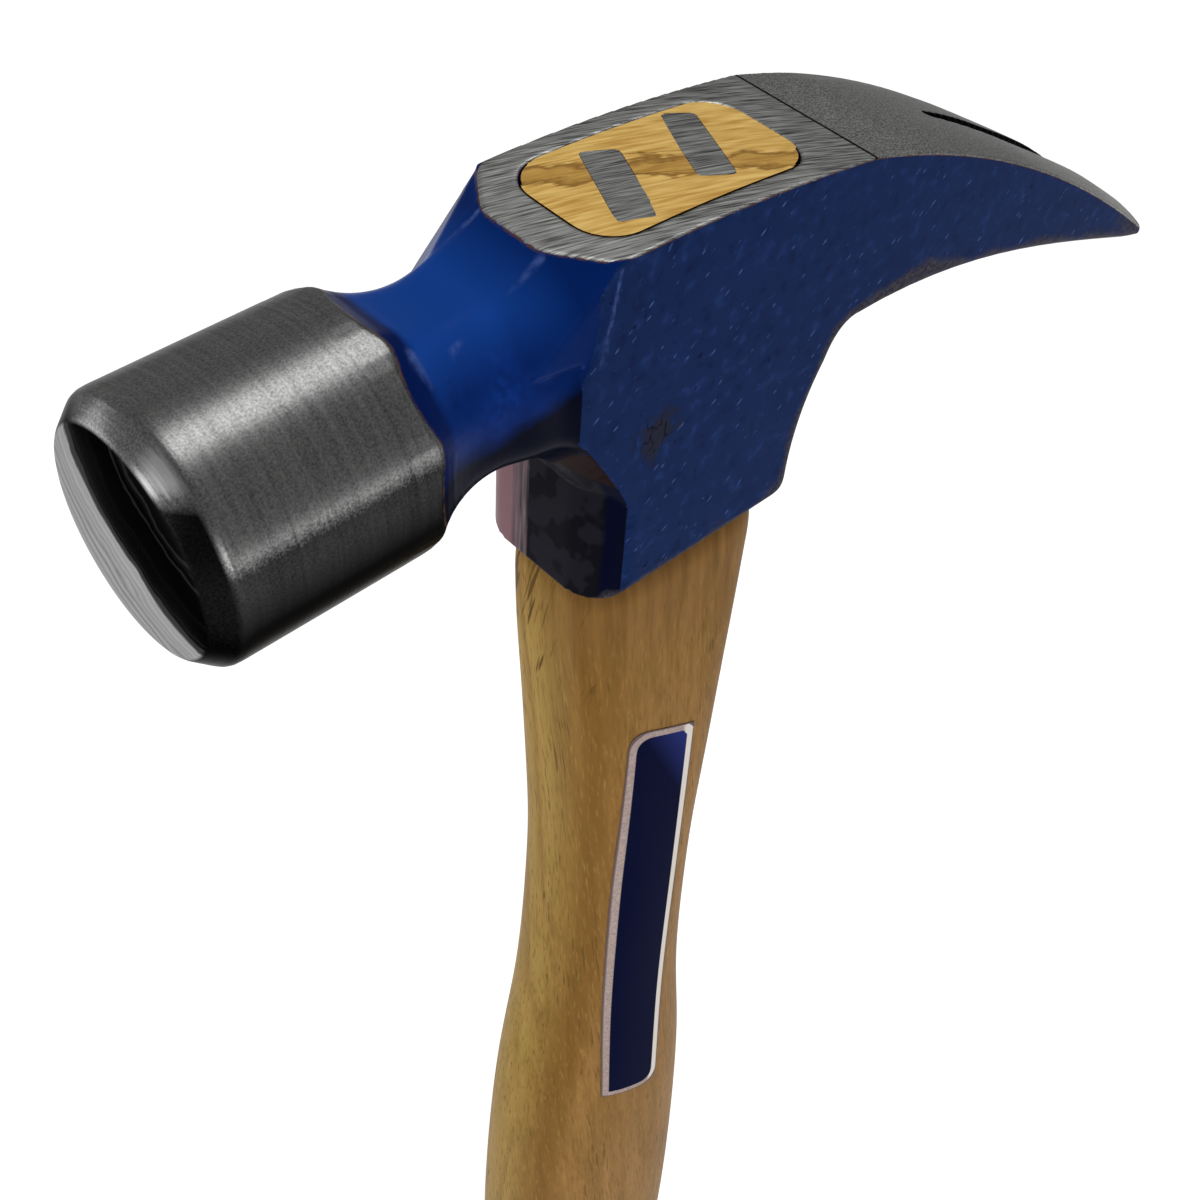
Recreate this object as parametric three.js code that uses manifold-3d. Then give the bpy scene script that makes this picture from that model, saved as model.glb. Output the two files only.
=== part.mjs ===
// Rip hammer: a forged and ground steel head, wedged on a turned hickory handle.
// Millimetres, +Z up along the handle, striking face towards -X, claws towards +X.
// The origin is the centre of the flat butt of the handle.

import * as THREE from 'three';
import { mergeVertices } from 'three/addons/utils/BufferGeometryUtils.js';
import Module from 'manifold-3d';

const wasm = await Module();
wasm.setup();

// Overall
const overallLength = 330;       // butt of the handle to the front edge of the head's top
const seatGap = 0.3;             // clearance between pieces that touch

// Poll: the round striking end, turned about its own axis
const pollRadius = 13.5;
const pollAxisDrop = 13.3;       // top of the head down to the poll's axis
const pollRimReach = 61.0;       // eye axis to the front rim of the poll
const faceBevel = 1.8;           // 45 degree bevel round the face
const faceCrown = 1.2;           // height of the domed striking face
const rimSoftness = 0.4;         // softened edge between bevel and poll

// Neck: an octagon that flares into the poll and into the cheeks
const neckAcross = 19.8;         // across the flats at the waist
const neckReach = 29.6;          // eye axis to the waist
const neckFilletRadius = 15.0;   // hollow between waist and poll
const neckEdgeRound = 1.6;       // softened edges between the flats

// Cheeks and the ground top
const headWidth = 20.5;
const topFrontReach = 19.8;      // eye axis to the front edge of the top
const topFrontHalf = 5.1;        // half the straight part of that edge
const clawLineReach = 20.8;      // eye axis to the line where the claws start to fall
const clawLineDrop = 3.6;
const cheekEdgeRound = 1.2;      // rounded lower edges of the cheeks and claws

// Claws
const clawReach = 87.7;          // eye axis to the claw tips
const clawTipDrop = 42.4;        // top of the head down to the tips
const clawBendReach = 0.46;      // where the top's curve bends, as a share of its run
const clawBendFall = 0.24;       // how far it would fall by there, as a share of its fall
const clawCrown = 0.8;           // rise of the claws' top along the middle
const clawCrownPower = 4;        // how flat the crown stays before it falls to the edges
const clawCrownStart = 0.16;     // share of the run over which the crown rises
const clawCrownLeft = 0.2;       // share of the crown left at the tips
const clawTipThickness = 0.9;
const clawTipRound = 3.0;        // rounded outer corners of the tips
const clawRootDrop = 25.2;       // top of the head down to the underside at the root
const slotReach = 43;            // eye axis to the end of the nail slot
const slotMouthHalf = 4.8;       // half width of the slot at the tips
const slotDraft = 0.8;           // extra half width of the slot at the top face
const slotEndRadius = 0.7;

// Skirt round the lower end of the eye
const skirtDepth = 47.3;         // top of the head down to the skirt's underside
const skirtLength = 31.0;
const skirtCornerRadius = 5.6;
const skirtEdgeRound = 2.6;      // rounded rear lower corner, seen from the side
const notchRadius = 4.0;         // fillet between claws and skirt
const notchReach = 19.0;         // eye axis to the back of the skirt at the fillet

// Eye: tapered hole for the handle, narrowest at its waist
const eyeFrontWall = 4.5;        // wall in front of the eye at the top
const eyeCheekWall = 2.65;       // wall beside the eye at the top
const eyeCornerRadius = 4.6;
const eyeWaistDrop = 24;
const eyeWaistTaper = 1.1;       // how far each side closes in at the waist
const skirtWall = 2.4;           // wall round the eye at the skirt

// Wedges: one of wood along a kerf, two of steel across it
const wedgeTurn = 25;            // degrees between the kerf and the length of the eye
const woodWedgeThickness = 3.2;
const woodWedgeDepth = 34;
const steelWedgeWidth = 11.8;
const steelWedgeThickness = 3.7;
const steelWedgeDepth = 22;
const wedgeToeThickness = 0.8;   // thickness left at the driven end of each wedge
const wedgeCornerRadius = 0.35;
const frontWedgeAt = [-6.8, -0.5];
const rearWedgeAt = [5.4, 0.9];

// Handle: half length (X) and half width (Y) of its section, by distance below the head's top
const shoulderInset = 1.5;       // shoulder of the handle inside the skirt's outline
const shoulderRound = 0.8;       // rounded rim of the shoulder
const shoulderRun = 13;          // straight length under the head
const shoulderPower = 4.5;       // squareness of the section: 2 is an ellipse
const shoulderSweep = 0.45;      // share of the sweep already reached at the shoulder
const handleSweep = 1.5;         // how far the grip's axis lies behind the eye's axis
const throatDrop = 112;
const throatHalf = [11.8, 10.4];
const throatPower = 2.5;
const throatHollow = [1.4, 0.6]; // how far the throat curves in before the swell
const swellDrop = 183;
const swellHalf = [17.0, 13.0];
const gripDrop = 240;
const gripHalf = [18.6, 14.8];
const gripPower = 2.3;
const waistDrop = 290;
const waistHalf = [17.6, 14.0];
const buttHalf = [19.2, 15.4];
const buttRound = 4.0;           // rounded edge of the butt
const buttFlare = 14;            // length of the flared end above the rounding
const buttFlareDepth = 0.7;      // how much slimmer the flare starts

// Label on the -Y side of the handle
const labelTopDrop = 77;         // top of the head down to the label's front upper corner
const labelSlant = 6.6;          // how much lower its rear edge stands
const labelLength = 95;
const labelWidth = 11.9;
const labelCornerRadius = 4.0;
const labelShift = -2.0;         // from the handle's axis towards the striking face
const labelThickness = 0.3;

// Facet counts
const roundFacets = 56;
const handleFacets = 44;
const handleRings = 46;
const wedgeFacets = 12;
const buttSteps = 5;
const trimStations = 12;
const clawStations = 26;
const trimAcross = 12;
const hollowSteps = 9;
const railSteps = 4;
const domeSteps = 6;

const halfWidth = headWidth / 2;
const pollAxis = -pollAxisDrop;
const shoulderLevel = -skirtDepth - seatGap;
const octagonShare = Math.tan(Math.PI / 8);
const beyond = 30;               // how far cutting solids run past what they cut
const proud = 2;                 // how far a solid runs on before the top is ground off

const { smoothstep, mapLinear } = THREE.MathUtils;

// Solids and meshes
function toSolid(geometry) {
  const bare = geometry.clone();
  bare.deleteAttribute('normal');
  bare.deleteAttribute('uv');
  const merged = mergeVertices(bare, 1e-4);
  return new wasm.Manifold(new wasm.Mesh({
    numProp: 3,
    vertProperties: new Float32Array(merged.attributes.position.array),
    triVerts: new Uint32Array(merged.index.array),
  }));
}

function toGeometry(solid) {
  const mesh = solid.getMesh();
  const geometry = new THREE.BufferGeometry();
  geometry.setAttribute('position', new THREE.BufferAttribute(mesh.vertProperties, 3));
  geometry.setIndex(new THREE.BufferAttribute(mesh.triVerts, 1));
  geometry.computeVertexNormals();
  return geometry;
}

// Joins rings of points, alike in number and order, into one closed solid with flat ends.
function loft(rings) {
  const count = rings[0].length;
  const points = rings.flat();
  const index = [];
  for (let ring = 0; ring + 1 < rings.length; ring++) {
    for (let i = 0; i < count; i++) {
      const a = ring * count + i;
      const b = ring * count + (i + 1) % count;
      index.push(a, b, b + count, a, b + count, a + count);
    }
  }
  const middle = (ring) => ring.reduce((sum, p) => sum.add(p), new THREE.Vector3()).divideScalar(count);
  const first = points.push(middle(rings[0])) - 1;
  const last = points.push(middle(rings[rings.length - 1])) - 1;
  const lastStart = (rings.length - 1) * count;
  for (let i = 0; i < count; i++) {
    const next = (i + 1) % count;
    index.push(first, next, i);
    index.push(last, lastStart + i, lastStart + next);
  }
  const geometry = new THREE.BufferGeometry().setFromPoints(points);
  geometry.setIndex(index);
  const solid = toSolid(geometry);
  return solid.volume() > 0 ? solid : toSolid(flipped(geometry));
}

function flipped(geometry) {
  const turned = geometry.clone();
  turned.index.array.reverse();
  return turned;
}

// Extrudes an outline drawn in X and Z across Y, centred, with optional rounded rims.
function acrossY(shape, width, rim = 0) {
  const geometry = new THREE.ExtrudeGeometry(shape, {
    depth: width - 2 * rim,
    bevelEnabled: rim > 0,
    bevelSize: rim,
    bevelThickness: rim,
    bevelOffset: -rim,
    bevelSegments: 3,
    curveSegments: 14,
  });
  geometry.translate(0, 0, -(width - 2 * rim) / 2);
  geometry.rotateX(Math.PI / 2);
  return toSolid(geometry);
}

// Extrudes an outline drawn in X and Y from one height to another.
function alongZ(shape, low, high) {
  const geometry = new THREE.ExtrudeGeometry(shape, {
    depth: high - low,
    bevelEnabled: false,
    curveSegments: 10,
  });
  geometry.translate(0, 0, low);
  return toSolid(geometry);
}

function roundedRing(halfX, halfY, radius, z, facets) {
  const corner = Math.min(radius, halfX, halfY);
  const steps = Math.max(2, Math.round(facets / 4) - 1);
  const ring = [];
  [[1, 1], [-1, 1], [-1, -1], [1, -1]].forEach(([sx, sy], quarter) => {
    for (let i = 0; i <= steps; i++) {
      const angle = (quarter + i / steps) * Math.PI / 2;
      const x = sx * (halfX - corner) + corner * Math.cos(angle);
      const y = sy * (halfY - corner) + corner * Math.sin(angle);
      ring.push(new THREE.Vector3(x, y, z));
    }
  });
  return ring;
}

// A superellipse: a power of 2 is an ellipse, and higher powers are squarer.
function ovalRing(centre, halfX, halfY, power, z) {
  const ring = [];
  for (let i = 0; i < handleFacets; i++) {
    const angle = 2 * Math.PI * i / handleFacets;
    const [c, s] = [Math.cos(angle), Math.sin(angle)];
    const x = centre + halfX * Math.sign(c) * Math.abs(c) ** (2 / power);
    ring.push(new THREE.Vector3(x, halfY * Math.sign(s) * Math.abs(s) ** (2 / power), z));
  }
  return ring;
}

// The head's top: ground as far as the claw line, then the claws' falling curve.
const clawRun = clawReach - clawLineReach;
const clawFall = clawTipDrop - clawLineDrop;
const clawTop = new THREE.QuadraticBezierCurve(
  new THREE.Vector2(clawLineReach, -clawLineDrop),
  new THREE.Vector2(clawLineReach + clawRun * clawBendReach, -clawLineDrop - clawFall * clawBendFall),
  new THREE.Vector2(clawReach, -clawTipDrop),
);

function topSection(x, z, rise) {
  const ring = [new THREE.Vector3(x, beyond, beyond), new THREE.Vector3(x, -beyond, beyond)];
  for (let i = 0; i <= trimAcross; i++) {
    const y = (2 * i / trimAcross - 1) * (halfWidth + 1);
    const crown = rise * Math.max(0, 1 - Math.abs(y / halfWidth) ** clawCrownPower);
    ring.push(new THREE.Vector3(x, y, z + crown));
  }
  return ring;
}

function topTrim() {
  const rings = [topSection(-topFrontReach - faceBevel, 0, 0)];
  for (let i = 0; i <= trimStations; i++) {
    const share = i / trimStations;
    const x = -topFrontReach + share * (topFrontReach + clawLineReach);
    rings.push(topSection(x, -clawLineDrop * share * share, 0));
  }
  for (let i = 1; i <= clawStations; i++) {
    const share = i / clawStations;
    const at = clawTop.getPoint(share);
    const fade = 1 - (1 - clawCrownLeft) * smoothstep(share, 1 - clawCrownLeft, 1);
    rings.push(topSection(at.x, at.y, clawCrown * smoothstep(share, 0, clawCrownStart) * fade));
  }
  const end = clawTop.getTangent(1);
  const endLevel = -clawTipDrop + beyond * end.y / end.x;
  rings.push(topSection(clawReach + beyond, endLevel, clawCrown * clawCrownLeft));
  return loft(rings);
}

// Cheeks, claws and skirt as one side profile, rounded along its lower edges.
function cheekBlock() {
  const front = -skirtLength / 2;
  const rear = skirtLength / 2;
  const under = -skirtDepth;
  const root = -clawRootDrop;
  const tipUnder = -clawTipDrop - clawTipThickness;
  const run = clawReach - notchReach;
  const spare = beyond / 4;
  const side = new THREE.Shape();
  side.moveTo(front - spare, under);
  side.lineTo(rear - skirtEdgeRound, under);
  side.quadraticCurveTo(rear, under, rear, under + skirtEdgeRound);
  side.quadraticCurveTo(rear, root - 2.6 * notchRadius, notchReach, root - notchRadius);
  side.quadraticCurveTo(notchReach + notchRadius * 0.3, root, notchReach + notchRadius, root);
  side.bezierCurveTo(
    notchReach + run * 0.37, root,
    notchReach + run * 0.68, root + (tipUnder - root) * 0.52,
    clawReach, tipUnder,
  );
  side.lineTo(clawReach + spare, tipUnder - spare * 0.4);
  side.lineTo(clawReach + spare, beyond / 2);
  side.lineTo(front - spare, beyond / 2);
  side.closePath();

  const plan = new THREE.Shape();
  const tip = [clawReach - clawTipRound, halfWidth - clawTipRound];
  const corner = [front + skirtCornerRadius, halfWidth - skirtCornerRadius];
  plan.moveTo(corner[0], -halfWidth);
  plan.lineTo(tip[0], -halfWidth);
  plan.absarc(tip[0], -tip[1], clawTipRound, -Math.PI / 2, 0);
  plan.lineTo(clawReach, tip[1]);
  plan.absarc(tip[0], tip[1], clawTipRound, 0, Math.PI / 2);
  plan.lineTo(corner[0], halfWidth);
  plan.absarc(corner[0], corner[1], skirtCornerRadius, Math.PI / 2, Math.PI);
  plan.absarc(corner[0], -corner[1], skirtCornerRadius, Math.PI, Math.PI * 1.5);
  const outline = alongZ(plan, -skirtDepth - beyond, beyond);
  return acrossY(side, headWidth, cheekEdgeRound).intersect(outline);
}

// One cross-section of the neck: four corners on one side, mirrored, with softened edges.
function neckRing(x, corners) {
  const right = corners.map(([y, z]) => new THREE.Vector2(y, z));
  const left = [...corners].reverse().map(([y, z]) => new THREE.Vector2(-y, z));
  const polygon = [...right, ...left];
  const mostOfHalf = 0.45;
  const ring = [];
  polygon.forEach((corner, i) => {
    const before = polygon[(i + polygon.length - 1) % polygon.length];
    const after = polygon[(i + 1) % polygon.length];
    const share = (to) => Math.min(mostOfHalf, neckEdgeRound / corner.distanceTo(to));
    const cut = (to) => corner.clone().lerp(to, share(to));
    const edge = new THREE.QuadraticBezierCurve(cut(before), corner, cut(after));
    edge.getPoints(3).forEach((p) => ring.push(new THREE.Vector3(x, p.x, pollAxis + p.y)));
  });
  return ring;
}

const octagon = (flat) => [
  [flat * octagonShare, flat], [flat, flat * octagonShare],
  [flat, -flat * octagonShare], [flat * octagonShare, -flat],
];

// The neck's flats, from beyond the poll's rim to inside the cheeks. Each station gives four
// corners as Y and height over the poll's axis: top edge, upper side, lower side, bottom edge.
function neckLoft() {
  const waist = neckAcross / 2;
  const hollow = (back) => waist + neckFilletRadius - Math.sqrt(neckFilletRadius ** 2 - back ** 2);
  const hollowRun = 0.8 * neckFilletRadius;
  const hollowEnd = neckFilletRadius / 3;
  const rings = [neckRing(-pollRimReach - beyond, octagon(pollRadius * 1.4))];
  for (let i = 0; i < hollowSteps; i++) {
    const back = hollowRun * (1 - i / hollowSteps);
    rings.push(neckRing(-neckReach - back, octagon(hollow(back))));
  }
  const skirtFront = -skirtLength / 2;
  const midHalf = (waist + halfWidth) / 2 - 0.1;
  const stations = [
    [-neckReach - hollowEnd, octagon(hollow(hollowEnd))],
    [-neckReach, octagon(waist)],
    [-(neckReach + topFrontReach) / 2, [
      [topFrontHalf - 0.6, (waist + pollAxisDrop) / 2 - 0.3], [midHalf, 2.4],
      [midHalf, -5.2], [topFrontHalf - 0.6, -waist - 0.5]]],
    [-topFrontReach, [
      [topFrontHalf, pollAxisDrop], [halfWidth - 0.1, 0.2],
      [halfWidth - 0.1, -6.6], [topFrontHalf, -waist - 2.2]]],
    [skirtFront, [
      [halfWidth - 0.9, pollAxisDrop + 3], [halfWidth + 3.2, 0],
      [halfWidth + 2.2, -9.6], [topFrontHalf + 1.6, -waist - 7.6]]],
    [skirtFront + 5, [
      [halfWidth + 2.6, pollAxisDrop + 6], [halfWidth + 6, 0],
      [halfWidth + 4.4, -14], [topFrontHalf + 4, -waist - 14]]],
  ];
  const rails = [0, 1, 2, 3].map((corner) => {
    const points = stations.map(([x, corners]) => new THREE.Vector3(x, ...corners[corner]));
    return new THREE.CatmullRomCurve3(points, false, 'catmullrom', 0.5);
  });
  const last = (stations.length - 1) * railSteps;
  for (let i = railSteps; i <= last; i++) {
    const at = rails.map((rail) => rail.getPoint(i / last));
    rings.push(neckRing(at[0].x, at.map((p) => [p.y, p.z])));
  }
  return loft(rings);
}

// Turned outline of the poll; at the neck it opens out so that only the flats shape the neck.
function pollTurning() {
  const faceRadius = pollRadius - faceBevel;
  const domeRadius = (faceRadius ** 2 + faceCrown ** 2) / (2 * faceCrown);
  const faceReach = pollRimReach + faceBevel;
  const openRun = 3;
  const profile = [];
  for (let i = 0; i <= domeSteps; i++) {
    const r = faceRadius * i / domeSteps;
    const rise = Math.sqrt(domeRadius ** 2 - r ** 2) - domeRadius + faceCrown;
    profile.push(new THREE.Vector2(r, faceReach + rise));
  }
  profile.push(new THREE.Vector2(pollRadius - rimSoftness, pollRimReach + rimSoftness));
  profile.push(new THREE.Vector2(pollRadius - rimSoftness / 4, pollRimReach - rimSoftness / 2));
  profile.push(new THREE.Vector2(pollRadius, pollRimReach - 2.5 * rimSoftness));
  profile.push(new THREE.Vector2(pollRadius, neckReach + openRun));
  profile.push(new THREE.Vector2(pollRadius + beyond, neckReach));
  profile.push(new THREE.Vector2(pollRadius + beyond, 0));
  profile.push(new THREE.Vector2(0, 0));
  const geometry = new THREE.LatheGeometry(profile, roundFacets);
  geometry.rotateZ(Math.PI / 2);
  geometry.translate(0, 0, pollAxis);
  const solid = toSolid(geometry);
  return solid.volume() > 0 ? solid : toSolid(flipped(mergeVertices(geometry)));
}

// As wide as the cheeks behind the neck's waist, and open in front of it.
function slab() {
  const block = (rear, half) => {
    const plan = new THREE.Shape();
    plan.moveTo(-pollRimReach - beyond, -half);
    plan.lineTo(rear, -half);
    plan.lineTo(rear, half);
    plan.lineTo(-pollRimReach - beyond, half);
    plan.closePath();
    return alongZ(plan, -skirtDepth - beyond, beyond);
  };
  return block(0, halfWidth).add(block(-neckReach, beyond));
}

// The eye at three levels, grown outwards by the given amount.
function eyeLoft(grow, low, high) {
  const topHalf = [topFrontReach - eyeFrontWall, halfWidth - eyeCheekWall];
  const endHalf = [skirtLength / 2 - skirtWall, halfWidth - skirtWall];
  const waistX = Math.min(topHalf[0], endHalf[0]) - eyeWaistTaper;
  const waistY = Math.min(topHalf[1], endHalf[1]) - eyeWaistTaper / 2;
  const ring = ([x, y], z) => roundedRing(x + grow, y + grow, eyeCornerRadius + grow, z, handleFacets);
  return loft([ring(topHalf, high), ring([waistX, waistY], -eyeWaistDrop), ring(endHalf, low)]);
}

function nailSlot() {
  const run = clawReach - slotReach;
  const steps = 6;
  const ring = (half, z) => {
    const points = [];
    const turn = Math.atan2(half - slotEndRadius, run);
    for (let i = 0; i <= steps; i++) {
      const angle = Math.PI / 2 + turn + (Math.PI - 2 * turn) * i / steps;
      const x = slotReach + slotEndRadius * (1 + Math.cos(angle));
      points.push(new THREE.Vector3(x, slotEndRadius * Math.sin(angle), z));
    }
    const mouth = half * (run + beyond) / run;
    points.push(new THREE.Vector3(clawReach + beyond, -mouth, z));
    points.push(new THREE.Vector3(clawReach + beyond, mouth, z));
    return points;
  };
  return loft([
    ring(slotMouthHalf + slotDraft, beyond),
    ring(slotMouthHalf - slotDraft, -clawTipDrop - beyond),
  ]);
}

const trim = topTrim();

function makeHead() {
  const front = neckLoft().intersect(pollTurning()).intersect(slab());
  return cheekBlock().add(front)
    .subtract(trim)
    .subtract(eyeLoft(0, -skirtDepth - proud, proud))
    .subtract(nailSlot());
}

// The handle's sections from shoulder to butt, grown outwards by the given amount.
function handleSections(grow) {
  const end = [skirtLength / 2 - shoulderInset, halfWidth - shoulderInset];
  const butt = -overallLength;
  const between = (a, b, hollow) => a.map((value, axis) => (value + b[axis]) / 2 - hollow[axis]);
  const slimmer = (half, by) => half.map((value) => value - by);
  const stations = [
    { z: shoulderLevel, half: slimmer(end, shoulderRound), power: shoulderPower },
    { z: shoulderLevel - 5 * shoulderRound, half: end, power: shoulderPower },
    { z: shoulderLevel - shoulderRun, half: end, power: shoulderPower },
    {
      z: -(skirtDepth + throatDrop) / 2,
      half: between(end, throatHalf, [0, 0]),
      power: (shoulderPower + throatPower) / 2,
    },
    { z: -throatDrop, half: throatHalf, power: throatPower },
    {
      z: -(throatDrop + swellDrop) / 2,
      half: between(throatHalf, swellHalf, throatHollow),
      power: (throatPower + gripPower) / 2,
    },
    { z: -swellDrop, half: swellHalf, power: gripPower },
    { z: -gripDrop, half: gripHalf, power: gripPower },
    { z: -waistDrop, half: waistHalf, power: gripPower },
    { z: butt + buttRound + buttFlare, half: slimmer(buttHalf, buttFlareDepth), power: gripPower },
    { z: butt + buttRound, half: buttHalf, power: gripPower },
  ];
  const sizes = new THREE.CatmullRomCurve3(
    stations.map(({ z, half }) => new THREE.Vector3(...half, z)), false, 'centripetal');
  const sections = sizes.getPoints(handleRings).map(({ x, y, z }) => {
    const next = Math.max(1, stations.findIndex((station) => station.z <= z + 1e-6));
    const [above, below] = [stations[next - 1], stations[next]];
    return { z, half: [x, y], power: mapLinear(z, above.z, below.z, above.power, below.power) };
  });
  for (let i = 1; i <= buttSteps; i++) {
    const angle = (i / buttSteps) * Math.PI / 2;
    const z = butt + buttRound * (1 - Math.sin(angle));
    sections.push({ z, half: slimmer(buttHalf, buttRound * (1 - Math.cos(angle))), power: gripPower });
  }
  return sections.map(({ z, half: [x, y], power }) => {
    const along = smoothstep(-z, -shoulderLevel, throatDrop);
    const sweep = handleSweep * (shoulderSweep + (1 - shoulderSweep) * along);
    return ovalRing(sweep, x + grow, y + grow, power, z);
  });
}

// A tapered bar driven down from the top, long across and thin along its own X.
function wedgeBar(thickness, width, depth, grow) {
  const toe = wedgeToeThickness / 2 + grow;
  const heel = thickness / 2 + grow;
  const reach = width / 2 + grow;
  const above = 2 * proud;
  const flare = above * (heel - toe) / depth;
  const ring = (half, z) => roundedRing(half, reach, wedgeCornerRadius + grow, z, wedgeFacets);
  return loft([ring(heel + flare, above), ring(toe, -depth - grow)]);
}

// Sunk by the mean fall of the ground top, so that both wedges end up about as deep.
function steelWedgeBar([x, y], grow) {
  return wedgeBar(steelWedgeThickness, steelWedgeWidth, steelWedgeDepth, grow)
    .rotate([0, 0, -wedgeTurn]).translate([x, y, -clawLineDrop / 4]);
}

function woodWedgeBar(grow) {
  const through = 4 * topFrontReach;
  return wedgeBar(woodWedgeThickness, through, woodWedgeDepth, grow).rotate([0, 0, 90 - wedgeTurn]);
}

const tenonTop = eyeLoft(-seatGap, shoulderLevel, proud);

function makeHandle() {
  const tenon = eyeLoft(-seatGap, shoulderLevel - proud, proud);
  return loft(handleSections(0)).add(tenon)
    .subtract(trim)
    .subtract(woodWedgeBar(seatGap))
    .subtract(steelWedgeBar(frontWedgeAt, seatGap))
    .subtract(steelWedgeBar(rearWedgeAt, seatGap));
}

function makeWoodWedge() {
  return woodWedgeBar(0).intersect(tenonTop)
    .subtract(trim)
    .subtract(steelWedgeBar(frontWedgeAt, seatGap))
    .subtract(steelWedgeBar(rearWedgeAt, seatGap));
}

const makeSteelWedge = (at) => steelWedgeBar(at, 0).intersect(tenonTop).subtract(trim);

// A thin foil that follows the handle, with slanted ends and two rounded corners.
function makeLabel() {
  const left = handleSweep + labelShift - labelWidth / 2;
  const right = left + labelWidth;
  const leftTop = -labelTopDrop;
  const leftBottom = leftTop - labelLength;
  const rightTop = leftTop - labelSlant;
  const rightBottom = leftBottom - labelSlant;
  const cut = new THREE.Vector2(labelWidth, -labelSlant).setLength(labelCornerRadius);
  const outline = new THREE.Shape();
  outline.moveTo(left, leftBottom);
  outline.lineTo(right - cut.x, rightBottom - cut.y);
  outline.quadraticCurveTo(right, rightBottom, right, rightBottom + labelCornerRadius);
  outline.lineTo(right, rightTop);
  outline.lineTo(left + cut.x, leftTop + cut.y);
  outline.quadraticCurveTo(left, leftTop, left, leftTop - labelCornerRadius);
  outline.closePath();
  const reach = 2 * beyond;
  const block = acrossY(outline, reach).translate([0, -reach / 2, 0]);
  const outside = loft(handleSections(seatGap + labelThickness));
  return outside.subtract(loft(handleSections(seatGap))).intersect(block);
}

const finish = (color, roughness, metalness) => (
  new THREE.MeshStandardMaterial({ color, roughness, metalness }));
const paintedSteel = finish('#16306e', 0.35, 0.2);
const hickory = finish('#b0884c', 0.5, 0);
const wedgeWood = finish('#9c7434', 0.6, 0);
const groundSteel = finish('#7a7a78', 0.4, 1);
const labelFoil = finish('#16215c', 0.3, 0);

const hammer = new THREE.Group();
hammer.name = 'rip_hammer';
hammer.position.set(-handleSweep, 0, overallLength);

function addPiece(name, solid, material) {
  const mesh = new THREE.Mesh(toGeometry(solid), material);
  mesh.name = name;
  hammer.add(mesh);
}

addPiece('head', makeHead(), paintedSteel);
addPiece('handle', makeHandle(), hickory);
addPiece('wood_wedge', makeWoodWedge(), wedgeWood);
addPiece('steel_wedge_front', makeSteelWedge(frontWedgeAt), groundSteel);
addPiece('steel_wedge_rear', makeSteelWedge(rearWedgeAt), groundSteel.clone());
addPiece('handle_label', makeLabel(), labelFoil);

export default hammer;
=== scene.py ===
import bpy
import numpy as np
from math import cos, pi, radians, sin
from mathutils import Matrix, Vector


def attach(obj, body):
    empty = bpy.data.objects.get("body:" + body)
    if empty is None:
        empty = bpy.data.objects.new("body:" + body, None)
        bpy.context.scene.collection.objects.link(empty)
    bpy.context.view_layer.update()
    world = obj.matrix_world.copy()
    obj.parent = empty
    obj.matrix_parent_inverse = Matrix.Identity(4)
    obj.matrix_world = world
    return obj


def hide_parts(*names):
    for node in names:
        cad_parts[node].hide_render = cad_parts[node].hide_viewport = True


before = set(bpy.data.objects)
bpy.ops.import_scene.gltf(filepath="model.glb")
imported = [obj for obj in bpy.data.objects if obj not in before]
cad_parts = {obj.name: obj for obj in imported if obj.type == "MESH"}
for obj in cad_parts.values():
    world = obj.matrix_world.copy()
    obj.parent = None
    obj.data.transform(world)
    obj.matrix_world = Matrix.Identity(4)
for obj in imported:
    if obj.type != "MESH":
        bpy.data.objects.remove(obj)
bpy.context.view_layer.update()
mm = 0.001
eyeX = -1.5 * mm     # the eye's axis, seen from the butt's centre
topZ = 330 * mm      # front edge of the ground top
print("frame loaded")


def toLinear(colour):
    channels = [int(colour[i:i + 2], 16) / 255 for i in (1, 3, 5)]
    return [c / 12.92 if c <= 0.04045 else ((c + 0.055) / 1.055) ** 2.4 for c in channels] + [1.0]


# Adds a node: settings are its own fields, sockets are values, hex colours, nodes or outputs.
def addNode(material, kind, settings=None, sockets=None):
    tree = material.node_tree
    node = tree.nodes.new("ShaderNode" + kind)
    for name, value in (settings or {}).items():
        setattr(node, name, value)
    for key, value in (sockets or {}).items():
        socket = next(s for s in node.inputs if s.name == key and s.enabled) if isinstance(key,
                                                                                           str) else node.inputs[key]
        if isinstance(value, bpy.types.Node):
            value = next(s for s in value.outputs if s.enabled)
        if isinstance(value, bpy.types.NodeSocket):
            tree.links.new(value, socket)
        else:
            socket.default_value = toLinear(value) if isinstance(value, str) else value
    return node


def newMaterial(name):
    material = bpy.data.materials.new(name)
    material.use_nodes = True
    material.node_tree.nodes.clear()
    return material


def pickOnly(piece):
    if bpy.context.object and bpy.context.object.mode != "OBJECT":
        bpy.ops.object.mode_set(mode="OBJECT")
    bpy.ops.object.select_all(action="DESELECT")
    piece.select_set(True)
    bpy.context.view_layer.objects.active = piece


def applyModifier(piece, kind, **settings):
    pickOnly(piece)
    modifier = piece.modifiers.new(kind.title(), kind)
    for name, value in settings.items():
        setattr(modifier, name, value)
    bpy.ops.object.modifier_apply(modifier=modifier.name)


# A merged copy of a CAD node, to be worked on as a piece of its own.
def copyOfNode(nodeName, pieceName):
    piece = bpy.data.objects.new(pieceName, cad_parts[nodeName].data.copy())
    bpy.context.scene.collection.objects.link(piece)
    piece.data.materials.clear()
    pickOnly(piece)
    bpy.ops.object.mode_set(mode="EDIT")
    bpy.ops.mesh.select_all(action="SELECT")
    bpy.ops.mesh.remove_doubles(threshold=0.002 * mm)
    bpy.ops.object.mode_set(mode="OBJECT")
    return piece


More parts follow.
